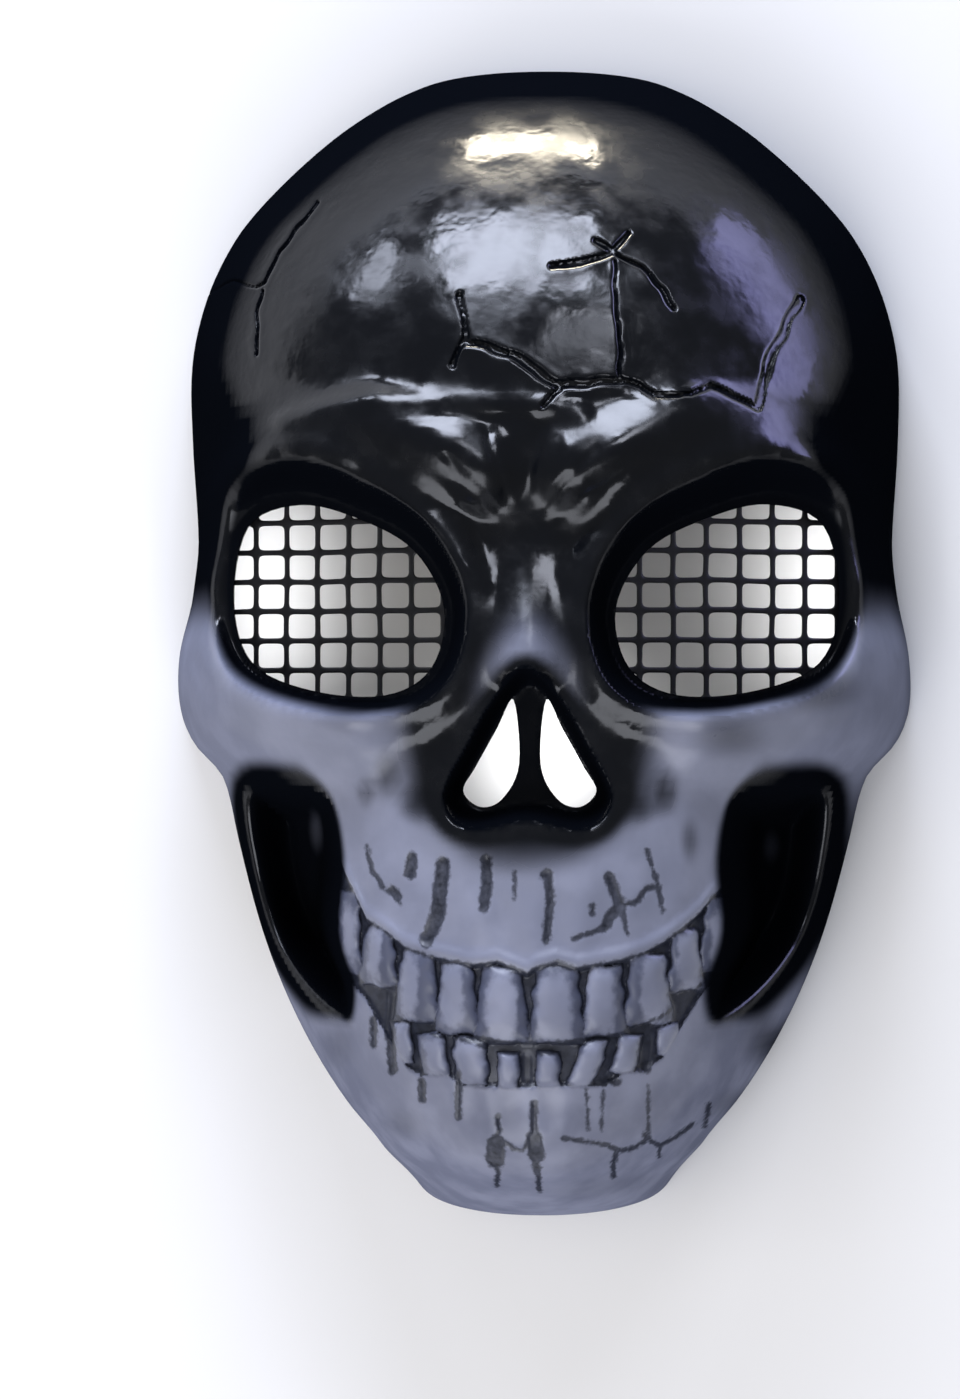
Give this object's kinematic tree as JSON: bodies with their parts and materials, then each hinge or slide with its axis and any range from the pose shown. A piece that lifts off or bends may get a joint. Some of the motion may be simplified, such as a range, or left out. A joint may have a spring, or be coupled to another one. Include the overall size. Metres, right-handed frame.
{
  "type": "skull mask",
  "caption": "Rigid full-face skull mask, hollow behind, with wide eye sockets closed by black square nets, open nose holes and a toothed grin.",
  "frame": {"origin": "centre of the outline on the plane of the back rim, which the mask rests on", "axes": "+X to the right as the face is seen, +Y to the crown, +Z out of the face"},
  "size_m": [0.1798, 0.28, 0.1071],
  "materials": {
    "moulded_shell": "bone-grey moulding airbrushed black over forehead, sockets, nose and cheek hollows, under a high gloss",
    "eye_net": "black satin net"
  },
  "bodies": {
    "root": {"mask_shell": "moulded_shell", "eye_mesh_left": "eye_net", "eye_mesh_right": "eye_net"}
  },
  "joints": []
}
